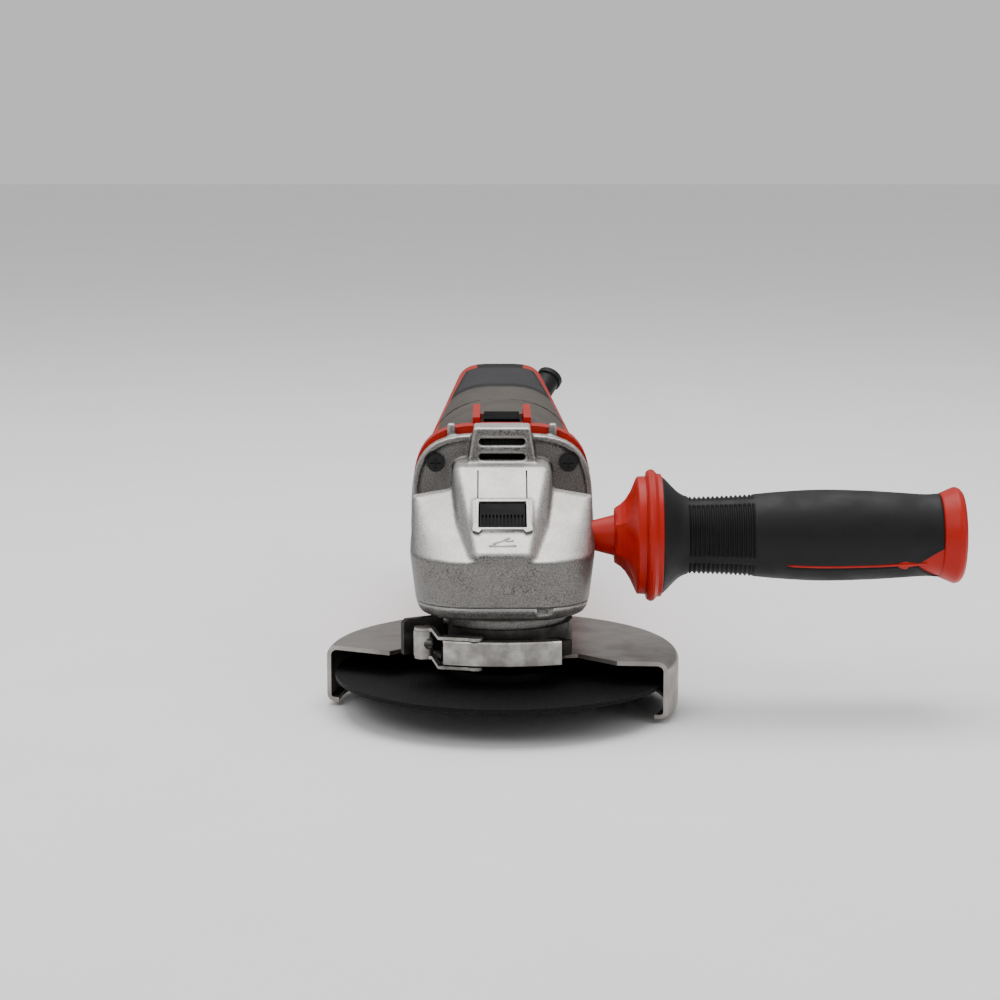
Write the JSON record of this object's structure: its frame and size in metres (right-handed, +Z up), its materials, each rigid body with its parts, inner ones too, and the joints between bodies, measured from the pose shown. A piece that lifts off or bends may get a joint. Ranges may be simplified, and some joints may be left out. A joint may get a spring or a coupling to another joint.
{
  "type": "angle grinder",
  "caption": "Corded angle grinder with die-cast gear head, cutting disc, quick-release guard, sliding switch and screw-in side handle.",
  "frame": {"origin": "tip of the spindle, on the spindle axis", "axes": "+Z up along the spindle into the gear head, +Y back along the motor and rear handle, +X out along the side handle"},
  "size_m": [0.2371, 0.3515, 0.1036],
  "materials": {
    "die_cast_aluminium": "shot-blasted die casting, satin",
    "screw_black": "black oxide",
    "screw_steel": "zinc plated",
    "bearing_steel": "ground and polished",
    "turned_steel": "turned, satin",
    "gear_steel": "hardened, oiled",
    "flange_black": "black oxide",
    "abrasive_disc": "resin-bonded grit, matt",
    "black_plastic": "moulded nylon, fine texture",
    "spring_steel": "drawn wire",
    "guard_sheet": "zinc-plated pressed sheet",
    "collar_steel": "dark phosphated",
    "latch_steel": "zinc plated, satin",
    "laminated_steel": "stacked laminations, varnished",
    "enamelled_copper": "enamelled wire, varnished",
    "commutator_copper": "turned copper",
    "black_rubber": "moulded rubber, matt",
    "grey_plastic": "moulded nylon",
    "red_plastic": "moulded glass-filled nylon, fine texture",
    "soft_grip_grey": "over-moulded soft grip, matt",
    "soft_grip_charcoal": "over-moulded soft grip, textured",
    "brass": "pressed brass",
    "carbon": "pressed carbon",
    "white_plastic": "moulded acetal",
    "capacitor_yellow": "moulded case",
    "handle_red": "moulded nylon, satin",
    "handle_rubber": "over-moulded soft rubber, matt"
  },
  "bodies": {
    "casing": {"gear_housing": "die_cast_aluminium", "bearing_plate": "die_cast_aluminium", "gear_housing_screws": "screw_black", "bearing_plate_screws": "screw_steel", "handle_shell_screws": "screw_steel", "needle_sleeve": "bearing_steel", "spindle_bearing_outer": "bearing_steel", "front_bearing_outer": "bearing_steel", "rear_bearing_outer": "bearing_steel", "side_handle_stud": "turned_steel", "bearing_retainer": "turned_steel", "switch_unit": "black_plastic", "cord_clamp": "black_plastic", "lock_spring": "spring_steel", "brush_springs": "spring_steel", "stator_core": "laminated_steel", "stator_windings": "enamelled_copper", "rear_bearing_cap": "black_rubber", "cord_gland": "black_rubber", "air_baffle": "grey_plastic", "motor_housing": "red_plastic", "handle_shell_left": "red_plastic", "handle_shell_right": "red_plastic", "front_grip": "soft_grip_grey", "rear_grip": "soft_grip_charcoal", "brush_holders": "brass", "carbon_brushes": "carbon", "suppression_capacitor": "capacitor_yellow", "side_handle_core": "handle_red", "side_handle_grip": "handle_rubber"},
    "spindle_group": {"spindle": "turned_steel", "spindle_bearing_inner": "bearing_steel", "ring_gear": "gear_steel", "inner_flange": "flange_black", "cutting_disc": "abrasive_disc", "clamping_nut": "flange_black"},
    "armature_group": {"armature_shaft": "turned_steel", "pinion_gear": "gear_steel", "armature_core": "laminated_steel", "armature_windings": "enamelled_copper", "commutator": "commutator_copper", "cooling_fan": "black_plastic", "front_bearing_inner": "bearing_steel", "rear_bearing_inner": "bearing_steel"},
    "lock_group": {"lock_button": "black_plastic", "lock_pin": "turned_steel"},
    "switch_group": {"switch_slider": "black_plastic", "switch_rod": "white_plastic"},
    "guard_group": {"guard_shell": "guard_sheet", "guard_collar": "collar_steel", "clamp_screw": "screw_steel"},
    "lever_group": {"clamp_lever": "latch_steel"},
    "link_group": {"clamp_link": "latch_steel", "clamp_barrel": "latch_steel"}
  },
  "joints": [
    {"name": "spindle_spin", "type": "hinge", "parent": "casing", "child": "spindle_group", "pos_m": [0, 0, 0.04], "axis": [0, 0, 1], "continuous": true},
    {"name": "armature_spin", "type": "hinge", "parent": "casing", "child": "armature_group", "pos_m": [0, 0.08, 0.065], "axis": [0, 1, 0], "continuous": true},
    {"name": "lock_press", "type": "slide", "parent": "casing", "child": "lock_group", "axis": [0, 0, -1], "range_m": [0, 0.004], "stiffness_N_per_m": 900, "springref_m": -0.002, "deforming": ["lock_spring"]},
    {"name": "switch_slide", "type": "slide", "parent": "casing", "child": "switch_group", "axis": [0, -1, 0], "range_m": [0, 0.007]},
    {"name": "guard_swivel", "type": "hinge", "parent": "casing", "child": "guard_group", "pos_m": [0, 0, 0.03], "axis": [0, 0, 1], "range_deg": [-70, 70]},
    {"name": "clamp_lever_open", "type": "hinge", "parent": "guard_group", "child": "lever_group", "pos_m": [-0.02, -0.02533, 0.0282], "axis": [0, 0, -1], "range_deg": [0, 95]},
    {"name": "clamp_link_swing", "type": "hinge", "parent": "lever_group", "child": "link_group", "pos_m": [-0.01, -0.02943, 0.0282], "axis": [0, 0, 1], "range_deg": [0, 80]}
  ],
  "couplings": [
    {"joint": "armature_spin", "follows": "spindle_spin", "ratio": 3.0833},
    {"joint": "clamp_link_swing", "follows": "clamp_lever_open", "ratio": 0.82}
  ]
}
